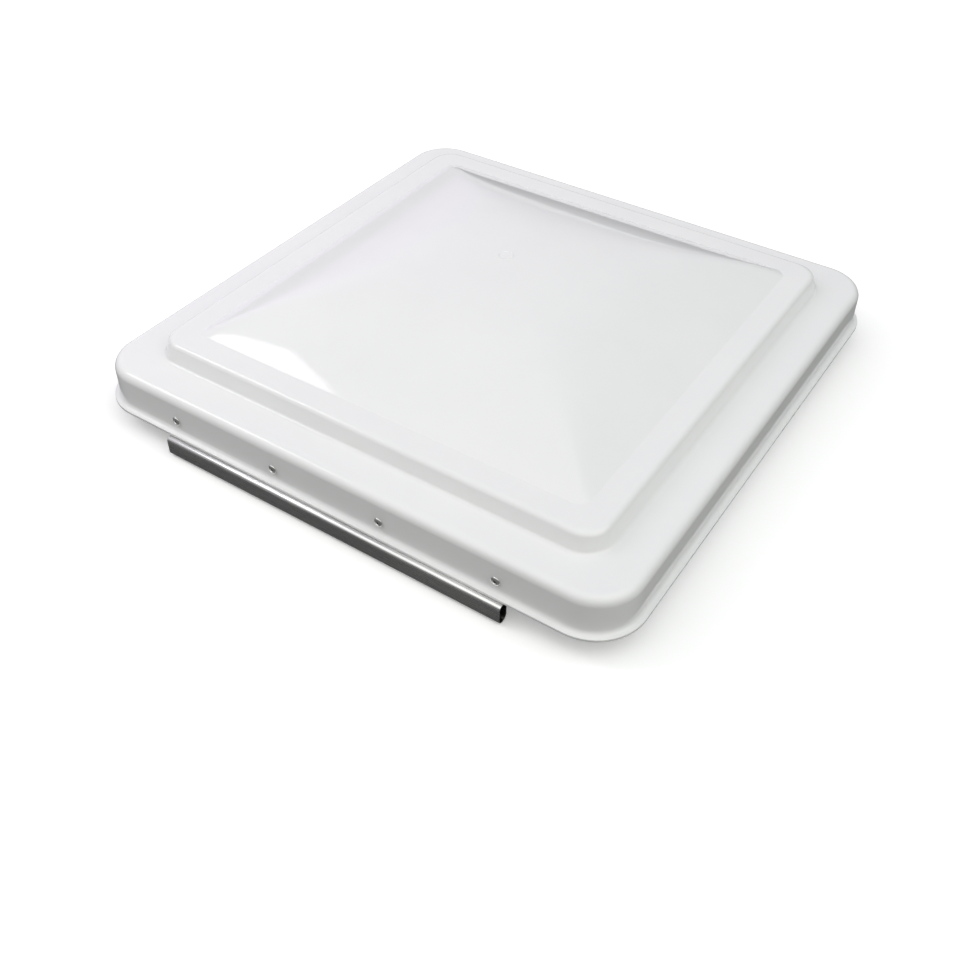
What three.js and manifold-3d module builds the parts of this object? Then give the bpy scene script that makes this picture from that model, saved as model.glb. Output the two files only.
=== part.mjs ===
// Roof vent cover for a 14 inch caravan roof vent. Millimetres, +Z up.
// The origin is the centre of the lid, on the plane of the lip's underside. The hinge side is -Y,
// and X runs along the hinge.
import * as THREE from "three";
import { mergeVertices } from "three/addons/utils/BufferGeometryUtils.js";
import Module from "manifold-3d";

const wasm = await Module();
wasm.setup();

// ---- Driving dimensions ----

// The lid, given as half-sizes of its square outline and heights above the lip's underside.
const SKIN = 2.2; // wall thickness of the moulding
const LIP_HALF = 202.5;
const LIP_THICK = 2;
const WALL_HALF = 198.5;
const WALL_DRAFT = 0.5; // how much the wall leans in on its way up
const FLARE_TOP = 6; // where the lip's flare meets the wall
const LEDGE_TOP = 29.3;
const LEDGE_EDGE_RADIUS = 6.5;
const STEP_FOOT_HALF = 171;
const STEP_TOP_HALF = 166.5;
const STEP_FILLET = 3;
const FRAME_TOP = 41.8;
const PANEL_HALF = 148.4;
const DOME_RISE = 37;
const DOME_SHARPNESS = 9; // how crisp the dome's four hips are
const DOME_FOOT_FADE = 12; // how soon the dome forgets the frame's rounded corners

// Radii of the square outline's corners, by half-size.
const CORNER_RADII = [
  { half: LIP_HALF, radius: 34.5 },
  { half: LIP_HALF - 11, radius: 23.5 },
  { half: STEP_FOOT_HALF, radius: 20 },
  { half: STEP_TOP_HALF, radius: 15.5 },
  { half: PANEL_HALF, radius: 9 },
  { half: 0, radius: 0 },
];

// Hinge rail: sheet steel rolled into a hollow barrel, riveted inside the lid's wall.
const HINGE_LENGTH = 260;
const SHEET = 1;
const LEAF_Y = -195.4; // middle of the sheet where it lies against the wall
const LEAF_TOP = 17.5;
const JOG_TOP = -0.6; // the sheet steps out under the lip between these heights
const JOG_FOOT = -3.4;
const BARREL_INNER_Y = -198.9; // middle of the sheet on the barrel's two sides
const BARREL_OUTER_Y = -205.7;
const BARREL_BEND_Z = -11.2; // centre of the bottom bend
const BARREL_SHOULDER_Z = -2.9;
const BARREL_SHOULDER_RADIUS = 2.2;
const BARREL_LIP = 2.8; // how far the rolled edge runs back over the barrel
const RIVET_Z = 11.2;
const RIVET_X = [-125.7, -43.1, 39.5, 122.1];

// Lift rail: a steel channel that the crank arm's shoe slides along.
const RAIL_LENGTH = 300;
const RAIL_WIDTH = 16;
const RAIL_DEPTH = 11;
const RAIL_SHEET = 1.2;
const RAIL_SLOT = 8;
const RAIL_Y = 156;
const RAIL_TOP = 33;
const SCREW_X = [-135, -45, 45, 135];

const CLEARANCE = 0.3; // around rivets, screws and the shoe
const REST_GAP = 0.05; // between faces that lie against each other

const ROUND = 16; // facets of small round pieces

// ---- Materials ----

const finish = (color, roughness, metalness) =>
  new THREE.MeshStandardMaterial({ color, roughness, metalness });

const WHITE_PLASTIC = finish(0xf1f1f3, 0.3, 0);
const ROLLED_STEEL = finish(0x8f9290, 0.35, 1);
const ALUMINIUM = finish(0xa9aaa8, 0.4, 1);
const DARK_STEEL = finish(0x55565a, 0.5, 1);
const ZINC_STEEL = finish(0xb9bcbe, 0.35, 1);
const GREY_FOAM = finish(0x6d6e70, 0.95, 0);
const NATURAL_NYLON = finish(0xe6e2d6, 0.5, 0);

// ---- Solids and booleans ----

const vent = new THREE.Group();

function addPiece(name, geometry, material) {
  const mesh = new THREE.Mesh(geometry, material);
  mesh.name = name;
  vent.add(mesh);
  return mesh;
}

function toSolid(geometry) {
  const bare = geometry.clone();
  bare.deleteAttribute("normal");
  bare.deleteAttribute("uv");
  const merged = mergeVertices(bare, 1e-4);
  return new wasm.Manifold(
    new wasm.Mesh({
      numProp: 3,
      vertProperties: merged.attributes.position.array,
      triVerts: new Uint32Array(merged.index.array),
    }),
  );
}

function toGeometry(solid) {
  const mesh = solid.getMesh();
  const geometry = new THREE.BufferGeometry();
  geometry.setAttribute("position", new THREE.BufferAttribute(mesh.vertProperties, 3));
  geometry.setIndex(new THREE.BufferAttribute(mesh.triVerts, 1));
  geometry.computeVertexNormals();
  return geometry;
}

// A turned piece whose axis is moved from +Y of the lathe to the given direction.
function turned(profile, direction, place) {
  const points = profile.map(([radius, along]) => new THREE.Vector2(radius, along));
  const turn = new THREE.Quaternion().setFromUnitVectors(new THREE.Vector3(0, 1, 0), direction);
  return new THREE.LatheGeometry(points, ROUND).applyQuaternion(turn).translate(...place);
}

function drill(radius, length, direction, place) {
  const half = length / 2;
  return toSolid(
    turned([[0, -half], [radius, -half], [radius, half], [0, half]], direction, place),
  );
}

// An outline in the Y-Z plane, extruded along X and centred on x = 0.
function extrudedAlongX(shape, length) {
  const toRow = new THREE.Matrix4().makeBasis(
    new THREE.Vector3(0, 1, 0),
    new THREE.Vector3(0, 0, 1),
    new THREE.Vector3(1, 0, 0),
  );
  return new THREE.ExtrudeGeometry(shape, { depth: length, bevelEnabled: false, curveSegments: 10 })
    .translate(0, 0, -length / 2)
    .applyMatrix4(toRow);
}

function box(size, place) {
  return new THREE.BoxGeometry(...size).translate(...place);
}

// ---- The moulded lid ----

const CORNER_STEPS = 5;
const SIDE_STEPS = 6;
const DOME_RINGS = 8;

function cornerRadius(half) {
  const inner = CORNER_RADII.findIndex((entry) => entry.half <= half);
  if (inner === 0) return CORNER_RADII[0].radius;
  const [outside, inside] = [CORNER_RADII[inner - 1], CORNER_RADII[inner]];
  const t = (half - inside.half) / (outside.half - inside.half);
  return THREE.MathUtils.lerp(inside.radius, outside.radius, t);
}

// A square with rounded corners, as points that run anticlockwise seen from above.
function roundedSquare(half, radius) {
  const points = [];
  const centre = half - radius;
  for (let side = 0; side < 4; side++) {
    const turn = (side * Math.PI) / 2;
    const origin = new THREE.Vector2();
    for (let i = 0; i < SIDE_STEPS; i++) {
      const along = THREE.MathUtils.lerp(-centre, centre, i / SIDE_STEPS);
      points.push(new THREE.Vector2(half, along).rotateAround(origin, turn));
    }
    for (let i = 0; i < CORNER_STEPS; i++) {
      const angle = ((i / CORNER_STEPS) * Math.PI) / 2;
      const x = centre + radius * Math.cos(angle);
      const y = centre + radius * Math.sin(angle);
      points.push(new THREE.Vector2(x, y).rotateAround(origin, turn));
    }
  }
  return points;
}

// The dome is a soft pyramid: its hips are crisp at the corners and fade towards the top.
function domeRise(x, y) {
  const across = Math.max(1 - (x / PANEL_HALF) ** 2, 1e-6);
  const along = Math.max(1 - (y / PANEL_HALF) ** 2, 1e-6);
  const n = DOME_SHARPNESS;
  const blend = (across ** -n + along ** -n) ** (-1 / n);
  return DOME_RISE * 2 ** (1 / n) * blend;
}

// A path through corners given as [out, up, fillet radius].
function filletedPath(corners) {
  const path = new THREE.Path();
  const vectors = corners.map(([out, up]) => new THREE.Vector2(out, up));
  path.moveTo(vectors[0].x, vectors[0].y);
  for (let i = 1; i < corners.length - 1; i++) {
    const back = vectors[i - 1].clone().sub(vectors[i]).normalize();
    const on = vectors[i + 1].clone().sub(vectors[i]).normalize();
    const halfAngle = back.angleTo(on) / 2;
    const reach = corners[i][2] / Math.tan(halfAngle);
    const start = vectors[i].clone().addScaledVector(back, reach);
    const end = vectors[i].clone().addScaledVector(on, reach);
    path.lineTo(start.x, start.y);
    path.quadraticCurveTo(vectors[i].x, vectors[i].y, end.x, end.y);
  }
  const last = vectors[vectors.length - 1];
  path.lineTo(last.x, last.y);
  return path.getPoints(4);
}

// The lid's section from the lip to the edge of the dome, moved in by the given thickness.
function lidSection(inset) {
  const wallTop = WALL_HALF - WALL_DRAFT - inset;
  const ledge = LEDGE_TOP - inset;
  const frame = FRAME_TOP - inset;
  const upper = [
    [wallTop, ledge, LEDGE_EDGE_RADIUS - inset],
    [STEP_FOOT_HALF - inset * 0.7, ledge, STEP_FILLET + inset],
    [STEP_TOP_HALF - inset * 0.7, frame, STEP_FILLET],
    [PANEL_HALF, frame, 0],
  ];
  if (inset > 0) return filletedPath([[WALL_HALF - inset, 0, 0], ...upper]);
  const flare = new THREE.QuadraticBezierCurve(
    new THREE.Vector2(LIP_HALF, LIP_THICK),
    new THREE.Vector2(WALL_HALF, LIP_THICK),
    new THREE.Vector2(WALL_HALF, FLARE_TOP),
  );
  const lip = [new THREE.Vector2(LIP_HALF, 0), ...flare.getPoints(5)];
  return [...lip.slice(0, -1), ...filletedPath([[WALL_HALF, FLARE_TOP, 0], ...upper])];
}

// Rings of points over one face of the lid: up the section, then over the dome to its middle.
function lidRings(inset) {
  const rings = lidSection(inset).map(({ x: half, y: height }) =>
    roundedSquare(half, Math.max(cornerRadius(half + inset) - inset, 0.5)).map(
      (p) => new THREE.Vector3(p.x, p.y, height),
    ),
  );
  // At the frame's rounded corners the pyramid already stands a little proud: that is faded out.
  const foot = roundedSquare(PANEL_HALF, cornerRadius(PANEL_HALF)).map((p) => domeRise(p.x, p.y));
  for (let i = 1; i <= DOME_RINGS; i++) {
    const half = PANEL_HALF * (1 - i / (DOME_RINGS + 0.5));
    const fade = (half / PANEL_HALF) ** DOME_FOOT_FADE;
    const ring = roundedSquare(half, cornerRadius(half));
    rings.push(
      ring.map(({ x, y }, j) => {
        const rise = domeRise(x, y) - fade * foot[j];
        return new THREE.Vector3(x, y, FRAME_TOP - inset + rise);
      }),
    );
  }
  return rings;
}

function lidSkin() {
  const outer = lidRings(0);
  const inner = lidRings(SKIN);
  const rings = [...inner.reverse(), ...outer];
  const perRing = outer[0].length;
  const positions = rings.flat().flatMap((p) => [p.x, p.y, p.z]);
  const indices = [];
  for (let ring = 0; ring + 1 < rings.length; ring++) {
    for (let i = 0; i < perRing; i++) {
      const a = ring * perRing + i;
      const b = ring * perRing + ((i + 1) % perRing);
      indices.push(a, b, b + perRing, a, b + perRing, a + perRing);
    }
  }
  const capped = [
    { first: 0, height: FRAME_TOP - SKIN + DOME_RISE, faces: (a, b, top) => [b, a, top] },
    {
      first: (rings.length - 1) * perRing,
      height: FRAME_TOP + DOME_RISE,
      faces: (a, b, top) => [a, b, top],
    },
  ];
  for (const { first, height, faces } of capped) {
    const top = positions.length / 3;
    positions.push(0, 0, height);
    for (let i = 0; i < perRing; i++) {
      indices.push(...faces(first + i, first + ((i + 1) % perRing), top));
    }
  }
  const geometry = new THREE.BufferGeometry();
  geometry.setAttribute("position", new THREE.Float32BufferAttribute(positions, 3));
  geometry.setIndex(indices);
  return geometry;
}

const X_AXIS = new THREE.Vector3(1, 0, 0);
const Y_AXIS = new THREE.Vector3(0, 1, 0);
const Z_AXIS = new THREE.Vector3(0, 0, 1);

const RIVET_SHANK = 1.6;
const SCREW_SHANK = 1.6;
const BOSS_RADIUS = 4.6;
const PILOT_TOP = FRAME_TOP - 3; // the pilot holes stop below the lid's skin

function coverShell() {
  let lid = toSolid(lidSkin());
  for (const x of SCREW_X) {
    const height = FRAME_TOP - SKIN / 2 - RAIL_TOP;
    lid = lid.add(drill(BOSS_RADIUS, height, Z_AXIS, [x, RAIL_Y, RAIL_TOP + height / 2]));
  }
  for (const x of SCREW_X) {
    const depth = PILOT_TOP - RAIL_TOP + 2;
    lid = lid.subtract(
      drill(SCREW_SHANK + CLEARANCE, depth, Z_AXIS, [x, RAIL_Y, PILOT_TOP - depth / 2]),
    );
  }
  for (const x of RIVET_X) {
    lid = lid.subtract(
      drill(RIVET_SHANK + CLEARANCE, 12, Y_AXIS, [x, -WALL_HALF, RIVET_Z]),
    );
  }
  return toGeometry(lid);
}

addPiece("cover_shell", coverShell(), WHITE_PLASTIC);

// ---- Hinge rail and its rivets ----

// The outline of a bent sheet, from the path of its middle.
function sheetOutline(middle, thickness) {
  const left = [];
  const right = [];
  middle.forEach((point, i) => {
    const before = middle[Math.max(i - 1, 0)];
    const after = middle[Math.min(i + 1, middle.length - 1)];
    const along = after.clone().sub(before).normalize();
    const side = new THREE.Vector2(-along.y, along.x).multiplyScalar(thickness / 2);
    left.push(point.clone().add(side));
    right.push(point.clone().sub(side));
  });
  return new THREE.Shape([...left, ...right.reverse()]);
}

function arcPoints(y, z, radius, from, to, steps) {
  const points = [];
  for (let i = 0; i <= steps; i++) {
    const angle = THREE.MathUtils.lerp(from, to, i / steps);
    points.push(new THREE.Vector2(y + radius * Math.cos(angle), z + radius * Math.sin(angle)));
  }
  return points;
}

function hingeRail() {
  const bendRadius = (BARREL_INNER_Y - BARREL_OUTER_Y) / 2;
  const bendY = BARREL_OUTER_Y + bendRadius;
  const shoulderY = BARREL_OUTER_Y + BARREL_SHOULDER_RADIUS;
  const middle = [
    new THREE.Vector2(LEAF_Y, LEAF_TOP),
    new THREE.Vector2(LEAF_Y, JOG_TOP),
    new THREE.Vector2(BARREL_INNER_Y, JOG_FOOT),
    ...arcPoints(bendY, BARREL_BEND_Z, bendRadius, 0, -Math.PI, 12),
    ...arcPoints(
      shoulderY,
      BARREL_SHOULDER_Z,
      BARREL_SHOULDER_RADIUS,
      Math.PI,
      Math.PI / 2,
      5,
    ),
    new THREE.Vector2(shoulderY + BARREL_LIP, BARREL_SHOULDER_Z + BARREL_SHOULDER_RADIUS),
  ];
  let rail = toSolid(extrudedAlongX(sheetOutline(middle, SHEET), HINGE_LENGTH));
  for (const x of RIVET_X) {
    rail = rail.subtract(drill(RIVET_SHANK + CLEARANCE, 6, Y_AXIS, [x, LEAF_Y, RIVET_Z]));
  }
  return toGeometry(rail);
}

addPiece("hinge_rail", hingeRail(), ROLLED_STEEL);

// A blind rivet lies along Y. Its domed head is outside the wall, its set tail is inside the leaf,
// and the broken-off mandrel stays in its bore.
const RIVET_HEAD_RADIUS = 3.2;
const RIVET_HEAD_HEIGHT = 1.1;
const RIVET_BORE = 1.1;
const MANDREL_RADIUS = 0.85;
const RIVET_HEAD_Y = -WALL_HALF - CLEARANCE; // underside of the head
const RIVET_TAIL_Y = LEAF_Y + SHEET / 2 + CLEARANCE;
const TAIL_RADIUS = 2.6;
const TAIL_LENGTH = 3.2;

function rivetBody() {
  return [
    [RIVET_BORE, RIVET_HEAD_Y - RIVET_HEAD_HEIGHT],
    [RIVET_BORE + 0.7, RIVET_HEAD_Y - RIVET_HEAD_HEIGHT],
    [RIVET_HEAD_RADIUS * 0.82, RIVET_HEAD_Y - RIVET_HEAD_HEIGHT * 0.7],
    [RIVET_HEAD_RADIUS, RIVET_HEAD_Y - RIVET_HEAD_HEIGHT * 0.2],
    [RIVET_HEAD_RADIUS, RIVET_HEAD_Y],
    [RIVET_SHANK, RIVET_HEAD_Y],
    [RIVET_SHANK, RIVET_TAIL_Y],
    [TAIL_RADIUS, RIVET_TAIL_Y + 0.5],
    [TAIL_RADIUS, RIVET_TAIL_Y + TAIL_LENGTH * 0.7],
    [RIVET_SHANK, RIVET_TAIL_Y + TAIL_LENGTH],
    [RIVET_BORE, RIVET_TAIL_Y + TAIL_LENGTH],
    [RIVET_BORE, RIVET_HEAD_Y - RIVET_HEAD_HEIGHT],
  ];
}

function mandrel() {
  const tail = RIVET_TAIL_Y + TAIL_LENGTH;
  return [
    [0, RIVET_HEAD_Y - 0.4],
    [MANDREL_RADIUS, RIVET_HEAD_Y - 0.4],
    [MANDREL_RADIUS, tail + 0.2],
    [RIVET_SHANK, tail + 0.2],
    [RIVET_SHANK, tail + 0.9],
    [MANDREL_RADIUS, tail + 1.6],
    [0, tail + 1.6],
  ];
}

RIVET_X.forEach((x, i) => {
  const place = [x, 0, RIVET_Z];
  addPiece(`hinge_rivet_${i + 1}`, turned(rivetBody(), Y_AXIS, place), ALUMINIUM);
  addPiece(`rivet_mandrel_${i + 1}`, turned(mandrel(), Y_AXIS, place), DARK_STEEL);
});

// ---- Lift rail and its screws ----

const RAIL_BOTTOM = RAIL_TOP - RAIL_DEPTH;

function liftRail() {
  const half = RAIL_WIDTH / 2;
  const slot = RAIL_SLOT / 2;
  const inner = half - RAIL_SHEET;
  const top = RAIL_TOP - REST_GAP;
  const corners = [
    [slot, RAIL_BOTTOM],
    [half, RAIL_BOTTOM],
    [half, top],
    [-half, top],
    [-half, RAIL_BOTTOM],
    [-slot, RAIL_BOTTOM],
    [-slot, RAIL_BOTTOM + RAIL_SHEET],
    [-inner, RAIL_BOTTOM + RAIL_SHEET],
    [-inner, top - RAIL_SHEET],
    [inner, top - RAIL_SHEET],
    [inner, RAIL_BOTTOM + RAIL_SHEET],
    [slot, RAIL_BOTTOM + RAIL_SHEET],
  ].map(([y, z]) => new THREE.Vector2(RAIL_Y + y, z));
  let rail = toSolid(extrudedAlongX(new THREE.Shape(corners), RAIL_LENGTH));
  const stopHeight = RAIL_DEPTH - RAIL_SHEET - 1;
  for (const end of [-1, 1]) {
    const x = end * (RAIL_LENGTH - RAIL_SHEET) / 2;
    const z = RAIL_TOP - RAIL_SHEET / 2 - stopHeight / 2;
    rail = rail.add(
      toSolid(box([RAIL_SHEET, 2 * inner - 2 * CLEARANCE, stopHeight], [x, RAIL_Y, z])),
    );
  }
  for (const x of SCREW_X) {
    rail = rail.subtract(drill(SCREW_SHANK + CLEARANCE, 6, Z_AXIS, [x, RAIL_Y, RAIL_TOP]));
  }
  return toGeometry(rail);
}

addPiece("lift_rail", liftRail(), ZINC_STEEL);

const SCREW_HEAD_RADIUS = 3.3;
const SCREW_HEAD_HEIGHT = 1.7;
const SCREW_THREADS = 3;

// A self-tapping screw that points up: head below the rail's web, thread in the boss.
function screwProfile() {
  const seat = RAIL_TOP - REST_GAP - RAIL_SHEET - REST_GAP;
  const tip = PILOT_TOP - CLEARANCE;
  const threadFoot = RAIL_TOP + 0.3;
  const pitch = (tip - threadFoot) / (SCREW_THREADS + 1);
  const core = SCREW_SHANK * 0.8;
  const profile = [
    [0, seat - SCREW_HEAD_HEIGHT * 0.55],
    [0.9, seat - SCREW_HEAD_HEIGHT * 0.55],
    [1.1, seat - SCREW_HEAD_HEIGHT],
    [SCREW_HEAD_RADIUS * 0.75, seat - SCREW_HEAD_HEIGHT * 0.9],
    [SCREW_HEAD_RADIUS, seat - SCREW_HEAD_HEIGHT * 0.4],
    [SCREW_HEAD_RADIUS, seat],
    [core, seat],
  ];
  for (let i = 0; i < SCREW_THREADS; i++) {
    const z = threadFoot + i * pitch;
    profile.push([core, z], [SCREW_SHANK, z + pitch / 2]);
  }
  profile.push([core, threadFoot + SCREW_THREADS * pitch], [0, tip]);
  return profile;
}

SCREW_X.forEach((x, i) => {
  const geometry = turned(screwProfile(), Z_AXIS, [x, RAIL_Y, 0]);
  addPiece(`lift_rail_screw_${i + 1}`, geometry, ZINC_STEEL);
});

// ---- Slide shoe, its pin and clip ----

const SHOE_LENGTH = 24;
const SHOE_GROOVE = 8; // clears the screw heads
const SHOE_GROOVE_DEPTH = 2.4;
const LUG_WIDTH = 7.2;
const LUG_LENGTH = 16;
const PIN_Z = 13.5;
const PIN_RADIUS = 2.5;

function slideShoe() {
  const inner = RAIL_WIDTH / 2 - RAIL_SHEET - CLEARANCE;
  const top = RAIL_TOP - REST_GAP - RAIL_SHEET - CLEARANCE;
  const bottom = RAIL_BOTTOM + RAIL_SHEET + CLEARANCE;
  const groove = top - SHOE_GROOVE_DEPTH;
  const outline = [
    [-inner, bottom],
    [inner, bottom],
    [inner, top],
    [SHOE_GROOVE / 2, top],
    [SHOE_GROOVE / 2, groove],
    [-SHOE_GROOVE / 2, groove],
    [-SHOE_GROOVE / 2, top],
    [-inner, top],
  ].map(([y, z]) => new THREE.Vector2(RAIL_Y + y, z));
  const runner = toSolid(extrudedAlongX(new THREE.Shape(outline), SHOE_LENGTH));

  // The lug, drawn in the X-Z plane with a round foot about the pin.
  const half = LUG_LENGTH / 2;
  const lug = new THREE.Shape();
  lug.moveTo(half, groove - 1);
  lug.lineTo(-half, groove - 1);
  lug.lineTo(-half, PIN_Z);
  lug.absarc(0, PIN_Z, half, Math.PI, 2 * Math.PI, false);
  const eye = new THREE.Path().absarc(0, PIN_Z, PIN_RADIUS + CLEARANCE, 0, 2 * Math.PI, true);
  lug.holes.push(eye);
  const foot = new THREE.ExtrudeGeometry(lug, {
    depth: LUG_WIDTH,
    bevelEnabled: false,
    curveSegments: 14,
  })
    .rotateX(Math.PI / 2)
    .translate(0, RAIL_Y + LUG_WIDTH / 2, 0);
  return toGeometry(runner.add(toSolid(foot)));
}

addPiece("slide_shoe", slideShoe(), NATURAL_NYLON);

const PIN_HEAD_RADIUS = 4;
const PIN_HEAD_HEIGHT = 1.6;
const ARM_SPACE = 6; // free length for the crank arm's eye, beside the lug
const CLIP_THICK = 0.9;
const CLIP_GROOVE_RADIUS = 1.9;

function armPin() {
  const headFace = RAIL_Y - LUG_WIDTH / 2 - CLEARANCE;
  const groove = RAIL_Y + LUG_WIDTH / 2 + ARM_SPACE;
  const grooveEnd = groove + CLIP_THICK + CLEARANCE;
  const tip = grooveEnd + 1.8;
  const profile = [
    [0, headFace - PIN_HEAD_HEIGHT],
    [PIN_HEAD_RADIUS - 0.5, headFace - PIN_HEAD_HEIGHT],
    [PIN_HEAD_RADIUS, headFace - PIN_HEAD_HEIGHT + 0.5],
    [PIN_HEAD_RADIUS, headFace],
    [PIN_RADIUS, headFace],
    [PIN_RADIUS, groove],
    [CLIP_GROOVE_RADIUS, groove],
    [CLIP_GROOVE_RADIUS, grooveEnd],
    [PIN_RADIUS, grooveEnd],
    [PIN_RADIUS, tip - 0.6],
    [PIN_RADIUS - 0.6, tip],
    [0, tip],
  ];
  return turned(profile, Y_AXIS, [0, 0, PIN_Z]);
}

// An open ring that snaps into the pin's groove.
function armPinClip() {
  const mouth = 0.6; // half the angle of the ring's opening, in radians
  const outer = 4.6;
  const inner = CLIP_GROOVE_RADIUS + CLEARANCE / 2;
  const ring = new THREE.Shape();
  ring.absarc(0, 0, outer, mouth, 2 * Math.PI - mouth, false);
  ring.absarc(0, 0, inner, 2 * Math.PI - mouth, mouth, true);
  const y = RAIL_Y + LUG_WIDTH / 2 + ARM_SPACE + CLEARANCE / 2;
  return new THREE.ExtrudeGeometry(ring, {
    depth: CLIP_THICK,
    bevelEnabled: false,
    curveSegments: 20,
  })
    .rotateX(Math.PI / 2)
    .translate(0, y + CLIP_THICK, PIN_Z);
}

addPiece("arm_pin", armPin(), ZINC_STEEL);
addPiece("arm_pin_clip", armPinClip(), DARK_STEEL);

// ---- Foam seal strips under the ledge ----

const SEAL_WIDTH = 12;
const SEAL_THICK = 5;
const SEAL_MIDDLE = 181; // from the lid's centre
const SEAL_LONG = 350;

const LEDGE_UNDERSIDE = LEDGE_TOP - SKIN;
const sealZ = LEDGE_UNDERSIDE - REST_GAP - SEAL_THICK / 2;
const sealShort = 2 * (SEAL_MIDDLE - SEAL_WIDTH / 2 - CLEARANCE);
for (const [name, y] of [["seal_hinge_side", -SEAL_MIDDLE], ["seal_opening_side", SEAL_MIDDLE]]) {
  addPiece(name, box([SEAL_LONG, SEAL_WIDTH, SEAL_THICK], [0, y, sealZ]), GREY_FOAM);
}
for (const [name, x] of [["seal_left", -SEAL_MIDDLE], ["seal_right", SEAL_MIDDLE]]) {
  addPiece(name, box([SEAL_WIDTH, sealShort, SEAL_THICK], [x, 0, sealZ]), GREY_FOAM);
}

export default vent;
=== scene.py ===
import math

import bmesh
import bpy
from mathutils import Matrix, Vector


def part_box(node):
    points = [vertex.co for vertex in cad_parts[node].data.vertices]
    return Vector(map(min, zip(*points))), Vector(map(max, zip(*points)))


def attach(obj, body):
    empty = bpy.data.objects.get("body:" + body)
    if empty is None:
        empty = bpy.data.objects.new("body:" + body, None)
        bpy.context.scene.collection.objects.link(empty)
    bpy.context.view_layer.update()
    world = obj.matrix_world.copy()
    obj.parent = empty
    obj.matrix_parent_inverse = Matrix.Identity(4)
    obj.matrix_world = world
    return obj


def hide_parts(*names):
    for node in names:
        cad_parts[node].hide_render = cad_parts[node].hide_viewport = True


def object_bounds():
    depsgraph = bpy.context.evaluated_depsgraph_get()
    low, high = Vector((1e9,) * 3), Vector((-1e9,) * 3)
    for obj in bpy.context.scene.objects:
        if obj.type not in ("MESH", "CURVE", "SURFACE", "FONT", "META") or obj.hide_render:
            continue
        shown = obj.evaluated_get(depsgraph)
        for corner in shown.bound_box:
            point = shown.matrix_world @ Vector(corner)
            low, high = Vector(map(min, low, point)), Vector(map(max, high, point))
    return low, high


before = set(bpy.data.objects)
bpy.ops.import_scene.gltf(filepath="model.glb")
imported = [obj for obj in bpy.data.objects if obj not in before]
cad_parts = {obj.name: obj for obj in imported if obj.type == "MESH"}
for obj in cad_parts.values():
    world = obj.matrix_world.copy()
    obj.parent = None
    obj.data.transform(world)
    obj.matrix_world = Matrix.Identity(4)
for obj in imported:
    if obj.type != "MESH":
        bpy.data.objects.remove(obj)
CAD_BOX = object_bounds()

# ---- Sizes, in metres ----
# The outline comes from the frame; the rest are the moulding's own measures.

MM = 0.001
LID_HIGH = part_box("cover_shell")[1]
HINGE_LOW, HINGE_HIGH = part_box("hinge_rail")
RAIL_LOW, RAIL_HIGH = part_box("lift_rail")

LIP_HALF = LID_HIGH.x
APEX = LID_HIGH.z
SKIN = 2.2 * MM
LIP_THICK = 2 * MM
WALL_HALF = LIP_HALF - 4 * MM
WALL_DRAFT = 0.5 * MM
FLARE_TOP = 6 * MM
LEDGE_TOP = 29.3 * MM
LEDGE_EDGE_RADIUS = 6.5 * MM
STEP_FOOT_HALF = 171 * MM
STEP_TOP_HALF = 166.5 * MM
STEP_FILLET = 3 * MM
STEP_EDGE_RADIUS = 5 * MM
FRAME_TOP = 41.8 * MM
PANEL_HALF = 148.4 * MM
DOME_RISE = APEX - FRAME_TOP
DOME_SHARPNESS = 9
DOME_FOOT_FADE = 12
DOME_FOOT_FILLET = 0.3 * MM  # reach of the soft bend between the frame and the dome
CORNER_RADII = [
    (LIP_HALF, 34.5 * MM),
    (LIP_HALF - 11 * MM, 23.5 * MM),
    (STEP_FOOT_HALF, 20 * MM),
    (STEP_TOP_HALF, 15.5 * MM),
    (PANEL_HALF, 9 * MM),
]
GATE_RING = 5 * MM  # radius of the raised ring at the gate, on top of the dome
GATE_RING_WIDTH = 0.55 * MM
GATE_RING_RISE = 0.4 * MM



def centre_of(node):
    low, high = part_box(node)
    return (low + high) / 2


FASTENERS = range(1, 5)
RIVET_X = [centre_of(f"hinge_rivet_{i}").x for i in FASTENERS]
RIVET_Z = centre_of("hinge_rivet_1").z
SCREW_X = [centre_of(f"lift_rail_screw_{i}").x for i in FASTENERS]
RAIL_Y = (RAIL_LOW.y + RAIL_HIGH.y) / 2
HOLE = 1.9 * MM
BOSS = 4.6 * MM
PILOT_TOP = FRAME_TOP - 3 * MM


# ---- Node materials ----


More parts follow.
